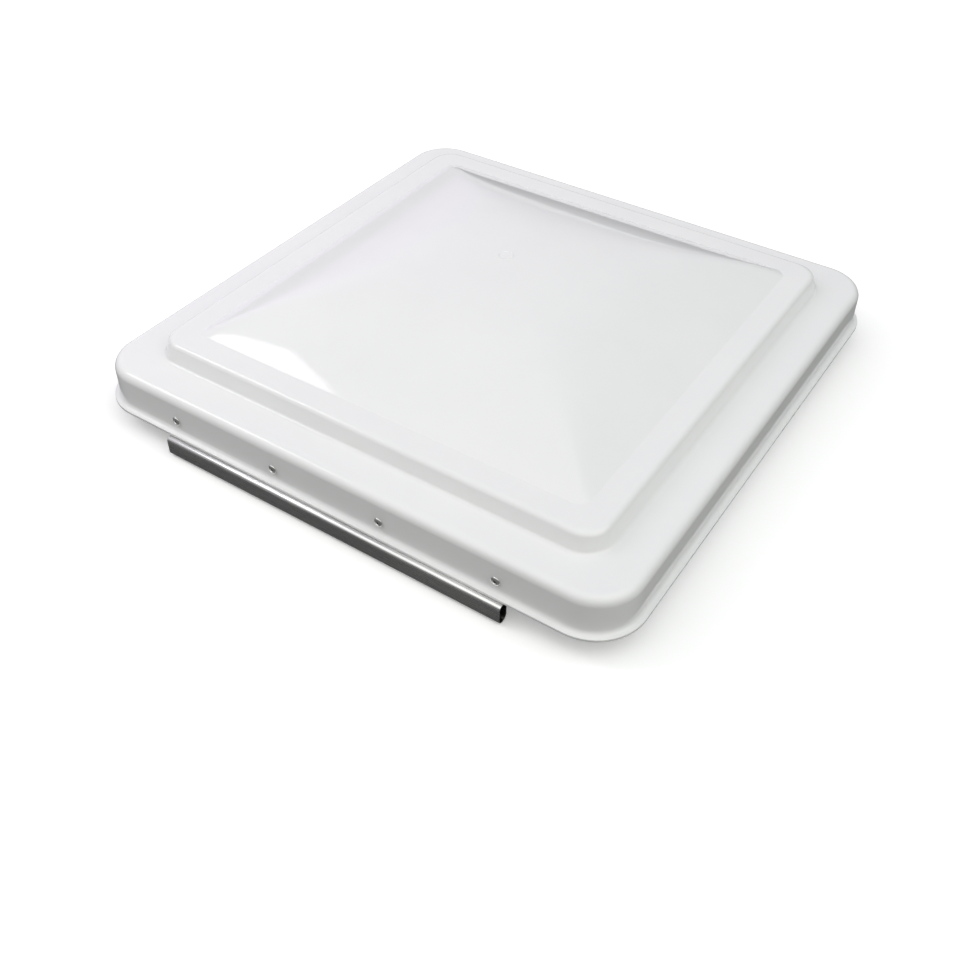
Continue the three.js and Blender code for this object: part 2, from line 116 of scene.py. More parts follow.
class Graph:
    """A material's node tree, with short calls to add and join nodes."""

    def __init__(self, name):
        self.material = bpy.data.materials.new(name)
        self.material.use_nodes = True
        self.tree = self.material.node_tree
        self.shader = self.tree.nodes["Principled BSDF"]
        coordinates = self.tree.nodes.new("ShaderNodeTexCoord")
        self.place = coordinates.outputs["Object"]

    def join(self, source, node, socket):
        self.tree.links.new(source, node.inputs[socket])

    def scaled(self, scale):
        mapping = self.tree.nodes.new("ShaderNodeMapping")
        mapping.inputs["Scale"].default_value = scale
        self.join(self.place, mapping, "Vector")
        return mapping.outputs["Vector"]

    def noise(self, scale, detail=4, stretch=(1, 1, 1), roughness=0.55):
        node = self.tree.nodes.new("ShaderNodeTexNoise")
        node.inputs["Scale"].default_value = scale
        node.inputs["Detail"].default_value = detail
        node.inputs["Roughness"].default_value = roughness
        self.join(self.scaled(stretch), node, "Vector")
        return node.outputs["Fac"]

    def cells(self, scale, output="Distance"):
        node = self.tree.nodes.new("ShaderNodeTexVoronoi")
        node.inputs["Scale"].default_value = scale
        self.join(self.place, node, "Vector")
        return node.outputs[output]

    def fit(self, value, low, high, to_low, to_high):
        node = self.tree.nodes.new("ShaderNodeMapRange")
        limits = {"From Min": low, "From Max": high, "To Min": to_low, "To Max": to_high}
        for socket, number in limits.items():
            node.inputs[socket].default_value = number
        self.join(value, node, "Value")
        return node.outputs["Result"]

    def math(self, kind, a, b):
        node = self.tree.nodes.new("ShaderNodeMath")
        node.operation = kind
        for index, value in enumerate((a, b)):
            if isinstance(value, (int, float)):
                node.inputs[index].default_value = value
            else:
                self.tree.links.new(value, node.inputs[index])
        return node.outputs["Value"]

    def part(self, axis):
        """One coordinate of the point that is being shaded."""
        node = self.tree.nodes.new("ShaderNodeSeparateXYZ")
        self.join(self.place, node, "Vector")
        return node.outputs[axis]

    def times(self, color, amount):
        node = self.tree.nodes.new("ShaderNodeVectorMath")
        node.operation = "SCALE"
        self.tree.links.new(color, node.inputs[0])
        self.tree.links.new(amount, node.inputs["Scale"])
        return node.outputs["Vector"]

    def ramp(self, value, *stops):
        node = self.tree.nodes.new("ShaderNodeValToRGB")
        elements = node.color_ramp.elements
        while len(elements) < len(stops):
            elements.new(0.5)
        for element, (position, color) in zip(elements, stops):
            element.position = position
            element.color = (*color, 1)
        self.join(value, node, "Fac")
        return node.outputs["Color"]

    def bump(self, height, strength, distance):
        node = self.tree.nodes.new("ShaderNodeBump")
        node.inputs["Strength"].default_value = strength
        node.inputs["Distance"].default_value = distance
        self.join(height, node, "Height")
        previous = self.shader.inputs["Normal"].links
        if previous:
            self.join(previous[0].from_socket, node, "Normal")
        self.join(node.outputs["Normal"], self.shader, "Normal")

    def set(self, **values):
        for name, value in values.items():
            socket = self.shader.inputs[name.replace("_", " ")]
            if hasattr(value, "node"):
                self.tree.links.new(value, socket)
            else:
                socket.default_value = value
        return self


def white_plastic():
    """Glossy moulded polypropylene: slightly see-through, with a faint flow pattern and fine rubs."""
    g = Graph("white_polypropylene")
    clouds = g.noise(14, 3)
    tint = g.ramp(clouds, (0.3, (0.845, 0.845, 0.852)), (0.7, (0.865, 0.865, 0.868)))
    rubs = g.noise(900, 5, stretch=(1, 0.08, 1))
    rough = g.fit(rubs, 0.35, 0.75, 0.04, 0.09)
    g.set(Base_Color=tint, Roughness=rough, IOR=1.49)
    g.set(Subsurface_Weight=0.12, Subsurface_Scale=2.5 * MM)
    g.set(Subsurface_Radius=(1.0, 0.95, 0.9))
    g.bump(g.noise(160, 2), 0.05, 0.3 * MM)
    g.bump(g.noise(2200, 2), 0.03, 0.05 * MM)
    return g.material


SHOULDER_HIGHLIGHT_HEIGHTS = (-3.4 * MM, -1.4 * MM)  # painted highlight: the hinge barrel's colour is brightened over its shoulder, where the light catches it
SHOULDER_HIGHLIGHT_GAIN = 1.5
# Painted shade: the steel's colour is darkened inside the hinge barrel, where little light reaches.
BARREL_CORE_Y = -202.3 * MM
BARREL_CORE_HEIGHTS = (-11.2 * MM, -4.2 * MM)
BARREL_SHADE_REACH = (3.2 * MM, 3.4 * MM)  # distance from the core at which the painted shade inside the barrel ends
BARREL_PAINTED_SHADE = 0.12


def rolled_steel():
    """Mill-finish strip: long fine rolling lines along X, a darker smear here and there, a painted
    highlight over the barrel's shoulder and painted shade inside the barrel.
    """
    g = Graph("rolled_steel_strip")
    lines = g.noise(2600, 6, stretch=(0.012, 1, 1), roughness=0.7)
    smear = g.noise(60, 4, stretch=(0.25, 1, 1))
    both = g.math("ADD", g.math("MULTIPLY", lines, 0.65), g.math("MULTIPLY", smear, 0.35))
    color = g.ramp(
        both, (0.3, (0.34, 0.34, 0.345)), (0.5, (0.52, 0.52, 0.52)), (0.7, (0.74, 0.73, 0.71))
    )
    # Painted highlight: the colour is brightened over the barrel's shoulder; painted shade: it is
    # darkened inside the barrel.
    shoulder_highlight = g.fit(g.part("Z"), *SHOULDER_HIGHLIGHT_HEIGHTS, 1, SHOULDER_HIGHLIGHT_GAIN)
    shade = g.math("MULTIPLY", shoulder_highlight, g.fit(inside_barrel(g), *BARREL_SHADE_REACH, BARREL_PAINTED_SHADE, 1))
    g.set(Base_Color=g.times(color, shade), Metallic=1.0)
    g.set(Roughness=g.fit(lines, 0.3, 0.7, 0.2, 0.36))
    g.bump(lines, 0.25, 0.06 * MM)
    return g.material


def inside_barrel(g):
    """Distance from the flat core that runs up the middle of the hinge barrel, which sets the painted
    shade inside it.
    """
    low, high = BARREL_CORE_HEIGHTS
    across = g.math("SUBTRACT", g.part("Y"), BARREL_CORE_Y)
    height = g.part("Z")
    nearest = g.math("MAXIMUM", g.math("MINIMUM", height, high), low)
    up = g.math("SUBTRACT", height, nearest)
    return g.math("SQRT", g.math("ADD", g.math("POWER", across, 2), g.math("POWER", up, 2)), 0)


def aluminium():
    """Drawn aluminium of the blind rivets, with small pressing marks."""
    g = Graph("rivet_aluminium")
    marks = g.noise(1500, 4)
    g.set(
        Base_Color=g.ramp(marks, (0.35, (0.72, 0.72, 0.71)), (0.7, (0.92, 0.92, 0.9))),
        Metallic=1.0,
        Roughness=g.fit(marks, 0.3, 0.7, 0.1, 0.22),
    )
    g.bump(marks, 0.15, 0.03 * MM)
    return g.material


def dark_steel():
    """Plain steel with a dark, slightly grainy skin."""
    g = Graph("dark_steel")
    grain = g.noise(2400, 5)
    g.set(
        Base_Color=g.ramp(grain, (0.3, (0.06, 0.06, 0.065)), (0.75, (0.2, 0.2, 0.2))),
        Metallic=1.0,
        Roughness=g.fit(grain, 0.3, 0.7, 0.35, 0.6),
    )
    g.bump(grain, 0.4, 0.04 * MM)
    return g.material


def zinc_steel():
    """Galvanised steel: flat crystal spangles of differing grey, under a thin bright skin."""
    g = Graph("zinc_spangle")
    spangle = g.cells(260, "Color")
    fine = g.noise(1800, 4)
    both = g.math("ADD", g.math("MULTIPLY", spangle, 0.6), g.math("MULTIPLY", fine, 0.4))
    g.set(
        Base_Color=g.ramp(both, (0.2, (0.42, 0.43, 0.45)), (0.8, (0.72, 0.73, 0.74))),
        Metallic=1.0,
        Roughness=g.fit(both, 0.2, 0.8, 0.28, 0.5),
    )
    g.bump(both, 0.15, 0.05 * MM)
    return g.material


def nylon():
    """Natural nylon, cloudy and a little waxy."""
    g = Graph("natural_nylon")
    clouds = g.noise(120, 3)
    g.set(
        Base_Color=g.ramp(clouds, (0.3, (0.66, 0.62, 0.53)), (0.7, (0.76, 0.73, 0.65))),
        Roughness=g.fit(g.noise(900, 3), 0.3, 0.7, 0.38, 0.55),
        Subsurface_Weight=0.3,
        Subsurface_Scale=2 * MM,
    )
    g.bump(g.noise(1400, 3), 0.15, 0.05 * MM)
    return g.material


def foam():
    """Closed-cell foam: small round cells cut open at the surface."""
    g = Graph("grey_foam")
    cell = g.cells(1100)
    patches = g.noise(90, 3)
    shade = g.math("ADD", g.math("MULTIPLY", cell, 0.5), g.math("MULTIPLY", patches, 0.5))
    g.set(
        Base_Color=g.ramp(shade, (0.2, (0.045, 0.045, 0.05)), (0.75, (0.13, 0.13, 0.14))),
        Roughness=0.92,
    )
    g.bump(cell, 0.8, 0.35 * MM)
    return g.material


WHITE = white_plastic()
STEEL = rolled_steel()
ALUMINIUM = aluminium()
DARK = dark_steel()
ZINC = zinc_steel()
NYLON = nylon()
FOAM = foam()


# ---- Mesh helpers ----

BEVEL_FROM = 40  # degrees
MERGE_DISTANCE = 0.002 * MM


def add_object(name, bm, material, body, node):
    """Turns a bmesh into a piece that rides on a body and stands for a CAD node."""
    bmesh.ops.recalc_face_normals(bm, faces=bm.faces)
    mesh = bpy.data.meshes.new(name)
    bm.to_mesh(mesh)
    bm.free()
    piece = bpy.data.objects.new(name, mesh)
    bpy.context.scene.collection.objects.link(piece)
    mesh.materials.append(material)
    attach(piece, body)
    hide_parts(node)
    return piece


def smooth(piece, angle):
    """Smooth shading, with the edges sharper than an angle in degrees left sharp."""
    piece.data.shade_smooth()
    piece.data.set_sharp_from_angle(angle=math.radians(angle))
    return piece


def bevel(piece, width, segments):
    """Rounds the piece's edges that bend by more than BEVEL_FROM, in its mesh."""
    modifier = piece.modifiers.new("edge_rounding", "BEVEL")
    modifier.width = width
    modifier.segments = segments
    modifier.limit_method = "ANGLE"
    modifier.angle_limit = math.radians(BEVEL_FROM)
    return apply_modifiers(piece)


def apply_modifiers(piece):
    """Writes what the modifiers make into the mesh and drops them."""
    graph = bpy.context.evaluated_depsgraph_get()
    finished = bpy.data.meshes.new_from_object(piece.evaluated_get(graph))
    piece.modifiers.clear()
    piece.data = finished
    return piece


def combine(piece, cutters, operation):
    """Joins or cuts the piece with temporary tool meshes."""
    tools = []
    for i, bm in enumerate(cutters):
        bmesh.ops.recalc_face_normals(bm, faces=bm.faces)
        mesh = bpy.data.meshes.new("tool")
        bm.to_mesh(mesh)
        bm.free()
        tool = bpy.data.objects.new(f"tool_{i}", mesh)
        bpy.context.scene.collection.objects.link(tool)
        tools.append(tool)
        modifier = piece.modifiers.new(f"tool_{i}", "BOOLEAN")
        modifier.operation = operation
        modifier.solver = "EXACT"
        modifier.object = tool
    apply_modifiers(piece)
    for tool in tools:
        bpy.data.objects.remove(tool)
    return piece


def loft(rings, cap_ends=False):
    """A skin over closed rings that all have the same number of points."""
    bm = bmesh.new()
    grid = [[bm.verts.new(p) for p in ring] for ring in rings]
    count = len(grid[0])
    for low, high in zip(grid, grid[1:]):
        for i in range(count):
            j = (i + 1) % count
            bm.faces.new((low[i], low[j], high[j], high[i]))
    if cap_ends:
        bm.faces.new(grid[0][::-1])
        bm.faces.new(grid[-1])
    return bm


def arc(centre, radius, start, end, steps):
    """Points of a round stretch, in two dimensions, with the angles in degrees."""
    points = []
    for i in range(steps + 1):
        angle = math.radians(start + (end - start) * i / steps)
        points.append((centre[0] + radius * math.cos(angle), centre[1] + radius * math.sin(angle)))
    return points


def rounded(corners, steps=8):
    """A line through corners given as (out, up, fillet radius), each rounded by a true arc."""
    points = [corners[0][:2]]
    for before, corner, after in zip(corners, corners[1:], corners[2:]):
        here = Vector(corner[:2])
        back = (Vector(before[:2]) - here).normalized()
        on = (Vector(after[:2]) - here).normalized()
        half = back.angle(on) / 2
        radius = corner[2]
        if radius == 0:
            points.append(tuple(here))
            continue
        centre = here + (back + on).normalized() * (radius / math.sin(half))
        start = here + back * (radius / math.tan(half)) - centre
        end = here + on * (radius / math.tan(half)) - centre
        first = math.atan2(start.y, start.x)
        sweep = start.angle_signed(end)
        for i in range(steps + 1):
            angle = first - sweep * i / steps
            points.append((centre.x + radius * math.cos(angle), centre.y + radius * math.sin(angle)))
    points.append(corners[-1][:2])
    return points


def turned(profile, place, axis="Y", steps=48):
    """A turned shape: the profile's (radius, along) points spun about an axis through place."""
    rings = []
    for radius, along in profile:
        ring = []
        for i in range(steps):
            angle = 2 * math.pi * i / steps
            a, b = radius * math.cos(angle), radius * math.sin(angle)
            point = (a, along, -b) if axis == "Y" else (a, b, along)
            ring.append(Vector(point) + Vector(place))
        rings.append(ring)
    bm = loft(rings)
    bmesh.ops.remove_doubles(bm, verts=bm.verts, dist=MERGE_DISTANCE)
    return bm


def along_x(outline, length, middle=0.0):
    """A closed outline of (y, z) points drawn out along X."""
    ends = (middle - length / 2, middle + length / 2)
    return loft([[(x, y, z) for y, z in outline] for x in ends], cap_ends=True)


def cuboid(size, place):
    bm = bmesh.new()
    placed = Matrix.Translation(place) @ Matrix.Diagonal((*size, 1))
    bmesh.ops.create_cube(bm, size=1, matrix=placed)
    return bm


# ---- The moulded lid ----

CORNER_STEPS = 14
SIDE_STEPS = 30
DOME_STEPS = 40
GATE_ZONE = 12 * MM  # the rings of the mesh are round out to here
GATE_STEPS = 40
LIP_EDGE = 0.35 * MM


def corner_radius(half):
    if half <= PANEL_HALF:
        return CORNER_RADII[-1][1] * half / PANEL_HALF
    for (outer, outer_radius), (inner, inner_radius) in zip(CORNER_RADII, CORNER_RADII[1:]):
        if half >= inner:
            t = min((half - inner) / (outer - inner), 1)
            return inner_radius + (outer_radius - inner_radius) * t
    return CORNER_RADII[-1][1]


def rounded_square(half, radius):
    """Points of a square with round corners, anticlockwise seen from above."""
    centre = half - radius
    side = [(half, -centre + 2 * centre * i / SIDE_STEPS) for i in range(SIDE_STEPS)]
    side += arc((centre, centre), radius, 0, 90, CORNER_STEPS)[:-1]
    points = []
    for turn in range(4):
        for x, y in side:
            for _ in range(turn):
                x, y = -y, x
            points.append((x, y))
    return points


def gate_ring(x, y):
    """Height of the small raised ring that the gate leaves on the dome's top."""
    away = abs(math.hypot(x, y) - GATE_RING) / GATE_RING_WIDTH
    return GATE_RING_RISE * max(0, 1 - away**2) ** 2


def dome_height(x, y):
    """A soft pyramid: its hips are crisp at the corners and fade towards the top."""
    n = DOME_SHARPNESS
    across = max(1 - (x / PANEL_HALF) ** 2, 1e-6)
    along = max(1 - (y / PANEL_HALF) ** 2, 1e-6)
    return DOME_RISE * 2 ** (1 / n) * (across**-n + along**-n) ** (-1 / n)


def lid_section(inset):
    """The lid's section from the lip to the edge of the dome, moved in by the skin's thickness."""
    ledge, top = LEDGE_TOP - inset, FRAME_TOP - inset
    upper = [
        (WALL_HALF - WALL_DRAFT - inset, ledge, LEDGE_EDGE_RADIUS - inset),
        (STEP_FOOT_HALF - inset * 0.7, ledge, STEP_FILLET + inset),
        (STEP_TOP_HALF - inset * 0.7, top, STEP_EDGE_RADIUS - inset),
        (PANEL_HALF + DOME_FOOT_FILLET, top, 0),
    ]
    if inset:
        return rounded([(WALL_HALF - inset, 0, 0), *upper])
    flare = FLARE_TOP - LIP_THICK - 0.6 * MM
    lip = [(WALL_HALF - SKIN, 0, 0), (LIP_HALF, 0, LIP_EDGE), (LIP_HALF, LIP_THICK, LIP_EDGE)]
    return rounded([*lip, (WALL_HALF, LIP_THICK, flare), *upper])[1:]


def lid_rings(inset):
    """Rings of points up the section and over the dome, moved in by the skin's thickness."""
    rings = []
    for half, height in lid_section(inset):
        radius = max(corner_radius(half + inset) - inset, 0.5 * MM)
        rings.append([(x, y, height) for x, y in rounded_square(half, radius)])
    foot = [dome_height(x, y) for x, y in rounded_square(PANEL_HALF, corner_radius(PANEL_HALF))]
    just_inside = rounded_square(PANEL_HALF - MM, corner_radius(PANEL_HALF - MM))
    slopes = [(dome_height(x, y) - proud) / MM for (x, y), proud in zip(just_inside, foot)]
    fillet = [PANEL_HALF + DOME_FOOT_FILLET * i / 3 for i in range(2, -4, -1)]
    dome = [PANEL_HALF * math.cos(math.pi / 2 * i / DOME_STEPS) for i in range(1, DOME_STEPS)]
    dome = [half for half in dome if GATE_ZONE < half < fillet[-1] - 0.3 * MM]
    gate = [GATE_ZONE * (1 - i / GATE_STEPS) for i in range(GATE_STEPS)]
    for half in fillet + dome + gate:
        blend = min(max((half - GATE_ZONE) / (4 * GATE_ZONE), 0), 1)
        radius = half + (corner_radius(half) - half) * blend
        fade = (half / PANEL_HALF) ** DOME_FOOT_FADE
        bend = max(DOME_FOOT_FILLET - abs(half - PANEL_HALF), 0) ** 2 / (4 * DOME_FOOT_FILLET)
        ring = []
        for (x, y), proud, slope in zip(rounded_square(half, radius), foot, slopes):
            rise = slope * bend
            if half < PANEL_HALF:
                rise += dome_height(x, y) - fade * proud
            if not inset:
                rise += gate_ring(x, y)
            ring.append((x, y, FRAME_TOP - inset + rise))
        rings.append(ring)
    return rings


def lid_moulding():
    """The lid's skin, with the bosses for the lift rail's screws and its drilled holes."""
    outer, inner = lid_rings(0), lid_rings(SKIN)
    bm = loft([*reversed(inner), *outer], cap_ends=True)
    piece = add_object("lid_moulding", bm, WHITE, "lid", "cover_shell")
    height = FRAME_TOP - SKIN / 2 - RAIL_HIGH.z
    bosses = []
    for x in SCREW_X:
        foot = RAIL_HIGH.z + 0.05 * MM
        boss = [(0, foot), (BOSS, foot), (BOSS, foot + 0.6 * height)]
        boss += [(BOSS + 1.2 * MM, foot + height), (0, foot + height)]
        bosses.append(turned(boss, (x, RAIL_Y, 0), axis="Z"))
    combine(piece, bosses, "UNION")
    holes = []
    for x in SCREW_X:
        low = RAIL_HIGH.z - 2 * MM
        pilot = [(0, low), (HOLE, low), (HOLE, PILOT_TOP), (0, PILOT_TOP)]
        holes.append(turned(pilot, (x, RAIL_Y, 0), axis="Z"))
    for x in RIVET_X:
        through = [(0, -6 * MM), (HOLE, -6 * MM), (HOLE, 6 * MM), (0, 6 * MM)]
        holes.append(turned(through, (x, -WALL_HALF, RIVET_Z)))
    combine(piece, holes, "DIFFERENCE")
    return smooth(piece, 28)


lid_moulding()


# ---- Hinge rail and rivets ----

SHEET = 1 * MM
LEAF_Y = HINGE_HIGH.y - SHEET / 2
BARREL_OUTER_Y = HINGE_LOW.y + SHEET / 2
BARREL_INNER_Y = -198.9 * MM
BEND_RADIUS = (BARREL_INNER_Y - BARREL_OUTER_Y) / 2
BEND_Z = HINGE_LOW.z + SHEET / 2 + BEND_RADIUS
SHOULDER_RADIUS = 2.2 * MM
SHOULDER_Z = -2.9 * MM
BARREL_LIP = 2.8 * MM
JOG_TOP, JOG_FOOT = -0.6 * MM, -3.4 * MM


def sheet_outline(middle, thickness):
    """The outline of a bent sheet, from the line along its middle."""
    left, right = [], []
    for i, (y, z) in enumerate(middle):
        before, after = Vector(middle[max(i - 1, 0)]), Vector(middle[min(i + 1, len(middle) - 1)])
        along = (after - before).normalized()
        side = Vector((-along.y, along.x)) * thickness / 2
        left.append((y + side.x, z + side.y))
        right.append((y - side.x, z - side.y))
    return left + right[::-1]


def hinge_rail():
    """Sheet bent from the riveted leaf through a jog into the open barrel."""
    middle = rounded(
        [(LEAF_Y, HINGE_HIGH.z), (LEAF_Y, JOG_TOP, 1.2 * MM), (BARREL_INNER_Y, JOG_FOOT, 1.2 * MM),
         (BARREL_INNER_Y, BEND_Z + 0.2 * MM)]
    )
    middle += arc((BARREL_OUTER_Y + BEND_RADIUS, BEND_Z), BEND_RADIUS, 0, -180, 28)
    shoulder = (BARREL_OUTER_Y + SHOULDER_RADIUS, SHOULDER_Z)
    middle += arc(shoulder, SHOULDER_RADIUS, 180, 90, 14)
    middle += [(shoulder[0] + BARREL_LIP, shoulder[1] + SHOULDER_RADIUS)]
    bm = along_x(sheet_outline(middle, SHEET), HINGE_HIGH.x - HINGE_LOW.x)
    piece = add_object("hinge_barrel", bm, STEEL, "lid", "hinge_rail")
    through = [(0, -3 * MM), (HOLE, -3 * MM), (HOLE, 3 * MM), (0, 3 * MM)]
    combine(piece, [turned(through, (x, LEAF_Y, RIVET_Z)) for x in RIVET_X], "DIFFERENCE")
    bevel(piece, 0.12 * MM, 2)
    return smooth(piece, 30)


def rivet(index):
    """A set blind rivet: domed head outside, swollen tail inside, and the mandrel's stub."""
    low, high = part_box(f"hinge_rivet_{index}")
    x = RIVET_X[index - 1]
    head_radius = (high.x - low.x) / 2
    shank, bore = 1.6 * MM, 1.1 * MM
    head_height = 1.1 * MM
    seat = low.y + head_height
    tail_start, tail = LEAF_Y + SHEET / 2 + 0.3 * MM, high.y
    angles = [math.radians(a) for a in range(38, 86, 6)]
    dome = [(head_radius * math.sin(a), seat - head_height * math.cos(a) ** 0.8) for a in angles]
    profile = [
        (bore, low.y + 1.2 * MM),
        (bore, low.y + 0.35 * MM),
        (bore + 0.15 * MM, low.y + 0.12 * MM),
        *dome,
        (head_radius, seat - 0.22 * MM),
        (head_radius, seat),
        (shank, seat),
        (shank, tail_start),
        (shank + 0.7 * MM, tail_start + 0.15 * MM),
        (shank + 1.0 * MM, tail_start + 0.6 * MM),
        (shank + 1.0 * MM, tail - 1.4 * MM),
        (shank + 0.5 * MM, tail - 0.3 * MM),
        (shank - 0.1 * MM, tail),
        (bore, tail),
    ]
    bm = turned([*profile, profile[0]], (x, 0, RIVET_Z))
    node = f"hinge_rivet_{index}"
    smooth(add_object(f"rivet_{index}", bm, ALUMINIUM, "lid", node), 50)

    low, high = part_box(f"rivet_mandrel_{index}")
    core, ball = 0.85 * MM, 1.55 * MM
    profile = [(0, low.y), (core * 0.5, low.y + 0.06 * MM), (core * 0.85, low.y + 0.2 * MM)]
    profile += [(core, low.y + 0.4 * MM), (core, high.y - 1.5 * MM), (ball, high.y - 1.25 * MM)]
    profile += [(ball, high.y - 0.7 * MM), (ball * 0.6, high.y - 0.15 * MM), (0, high.y)]
    bm = turned(profile, (x, 0, RIVET_Z))
    node = f"rivet_mandrel_{index}"
    smooth(add_object(f"mandrel_{index}", bm, DARK, "lid", node), 50)


hinge_rail()
for number in FASTENERS:
    rivet(number)


# ---- Lift rail and screws ----

RAIL_SHEET = 1.2 * MM
RAIL_SLOT = 8 * MM


def lift_rail():
    """A channel folded from sheet, open downwards, with a stop tab folded over each end."""
    half = (RAIL_HIGH.y - RAIL_LOW.y) / 2
    bend = RAIL_SHEET * 1.4
    top, bottom = RAIL_HIGH.z, RAIL_LOW.z
    outside = [
        (RAIL_SLOT / 2, bottom, 0), (half, bottom, bend), (half, top, bend), (-half, top, bend),
        (-half, bottom, bend), (-RAIL_SLOT / 2, bottom, 0),
    ]
    t, inner = RAIL_SHEET, half - RAIL_SHEET
    inside = [
        (-RAIL_SLOT / 2, bottom + t, 0), (-inner, bottom + t, bend - t), (-inner, top - t, bend - t),
        (inner, top - t, bend - t), (inner, bottom + t, bend - t), (RAIL_SLOT / 2, bottom + t, 0),
    ]
    outline = [(RAIL_Y + y, z) for y, z in rounded(outside, 5) + rounded(inside, 5)]
    length = RAIL_HIGH.x - RAIL_LOW.x
    bm = along_x(outline, length)
    piece = add_object("lift_channel", bm, ZINC, "lid", "lift_rail")
    tab_height = top - bottom - t - 1 * MM
    tabs = [
        cuboid(
            (t, 2 * inner - 0.6 * MM, tab_height),
            (end * (length - t) / 2, RAIL_Y, top - t / 2 - tab_height / 2),
        )
        for end in (-1, 1)
    ]
    combine(piece, tabs, "UNION")
    hole = [(0, top - 3 * MM), (HOLE, top - 3 * MM), (HOLE, top + 3 * MM), (0, top + 3 * MM)]
    combine(piece, [turned(hole, (x, RAIL_Y, 0), axis="Z") for x in SCREW_X], "DIFFERENCE")
    bevel(piece, 0.12 * MM, 2)
    return smooth(piece, 30)


def rail_screw(index):
    """A pan-head self-tapping screw that points up, with a cross recess in its head."""
    low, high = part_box(f"lift_rail_screw_{index}")
    x = SCREW_X[index - 1]
    head, shank = (high.x - low.x) / 2, 1.28 * MM
    seat = low.z + 1.7 * MM
    angles = [math.radians(a) for a in range(0, 91, 9)]
    dome = [(head * math.sin(a), seat - 0.35 * MM - 1.35 * MM * math.cos(a)) for a in angles]
    profile = [*dome, (head, seat), (shank, seat)]
    thread_foot = RAIL_HIGH.z + 0.4 * MM
    turns = 5
    pitch = (high.z - 0.7 * MM - thread_foot) / turns
    for i in range(turns):
        z = thread_foot + i * pitch
        profile += [(shank, z), (shank + 0.3 * MM, z + 0.45 * pitch), (shank, z + 0.9 * pitch)]
    profile += [(shank, high.z - 0.6 * MM), (0, high.z)]
    bm = turned(profile, (x, RAIL_Y, 0), axis="Z")
    piece = add_object(f"screw_{index}", bm, ZINC, "lid", f"lift_rail_screw_{index}")
    long, wide, deep = 3.6 * MM, 0.75 * MM, 1.5 * MM
    place = (x, RAIL_Y, low.z + 0.3 * MM)
    slots = [cuboid(size, place) for size in ((long, wide, deep), (wide, long, deep))]
    combine(piece, slots, "DIFFERENCE")
    return smooth(piece, 40)


lift_rail()
for number in FASTENERS:
    rail_screw(number)


# ---- Shoe, pin and clip ----


def slide_shoe():
    """The nylon shoe: a runner inside the channel and a lug that hangs through its slot."""
    low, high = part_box("slide_shoe")
    middle = (low.x + high.x) / 2
    half = (high.y - low.y) / 2
    floor = RAIL_LOW.z + RAIL_SHEET + 0.3 * MM
    groove, groove_half = high.z - 2.4 * MM, 4 * MM
    outline = [
        (-half, floor), (half, floor), (half, high.z), (groove_half, high.z),
        (groove_half, groove), (-groove_half, groove), (-groove_half, high.z), (-half, high.z),
    ]
    bm = along_x([(RAIL_Y + y, z) for y, z in outline], high.x - low.x, middle)
    piece = add_object("shoe", bm, NYLON, "shoe", "slide_shoe")
    pin_z = centre_of("arm_pin").z
    radius = pin_z - low.z
    width = 7.2 * MM
    shape = [(middle + radius, groove - 1 * MM), (middle - radius, groove - 1 * MM)]
    shape += arc((middle, pin_z), radius, 180, 360, 32)
    sides = [[(x, RAIL_Y + side * width / 2, z) for x, z in shape] for side in (-1, 1)]
    combine(piece, [loft(sides, cap_ends=True)], "UNION")
    eye = 2.8 * MM
    near, far = RAIL_Y - width, RAIL_Y + width
    through = [(0, near), (eye, near), (eye, far), (0, far)]
    combine(piece, [turned(through, (middle, 0, pin_z), steps=64)], "DIFFERENCE")
    bevel(piece, 0.35 * MM, 3)
    return smooth(piece, 30)


def arm_pin():
    """The headed pin, with a groove near its free end for the clip."""
    low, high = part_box("arm_pin")
    clip_low, clip_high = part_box("arm_pin_clip")
    place = ((low.x + high.x) / 2, 0, (low.z + high.z) / 2)
    head, shank, groove = (high.x - low.x) / 2, 2.5 * MM, 1.9 * MM
    head_face = low.y + 1.6 * MM
    edge = 0.35 * MM
    slack, chamfer = 0.15 * MM, 0.6 * MM
    rim = [(head, low.y, edge * 1.6), (head, head_face, edge * 0.5)]
    profile = [
        *rounded([(0, low.y), *rim, (shank, head_face)], 5),
        (shank, clip_low.y - slack), (groove, clip_low.y - slack),
        (groove, clip_high.y + slack), (shank, clip_high.y + slack),
        (shank, high.y - chamfer), (shank - chamfer, high.y), (0, high.y),
    ]
    piece = add_object("pin", turned(profile, place, steps=64), ZINC, "pin", "arm_pin")
    return smooth(piece, 30)


def arm_pin_clip():
    """An open spring ring with three inward lugs, as an E-shaped retaining ring has."""
    low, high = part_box("arm_pin_clip")
    middle = centre_of("arm_pin")
    mouth = 34  # half the angle of the ring's opening, in degrees
    outer, inner, web = 4.6 * MM, 2.05 * MM, 3.2 * MM
    outline = arc((0, 0), outer, mouth, 360 - mouth, 60)
    lugs = []
    for i in range(91):
        angle = 360 - mouth - (360 - 2 * mouth) * i / 90
        near_lug = min(abs(angle - centre) for centre in (mouth + 8, 180, 352 - mouth))
        reach = inner if near_lug < 16 else web
        lugs.append((reach * math.cos(math.radians(angle)), reach * math.sin(math.radians(angle))))
    outline += lugs
    rings = [[(middle.x + a, y, middle.z + b) for a, b in outline] for y in (low.y, high.y)]
    bm = loft(rings, cap_ends=True)
    piece = add_object("pin_clip", bm, DARK, "pin", "arm_pin_clip")
    bevel(piece, 0.1 * MM, 2)
    return smooth(piece, 30)


slide_shoe()
arm_pin()
arm_pin_clip()


# ---- Foam seals ----


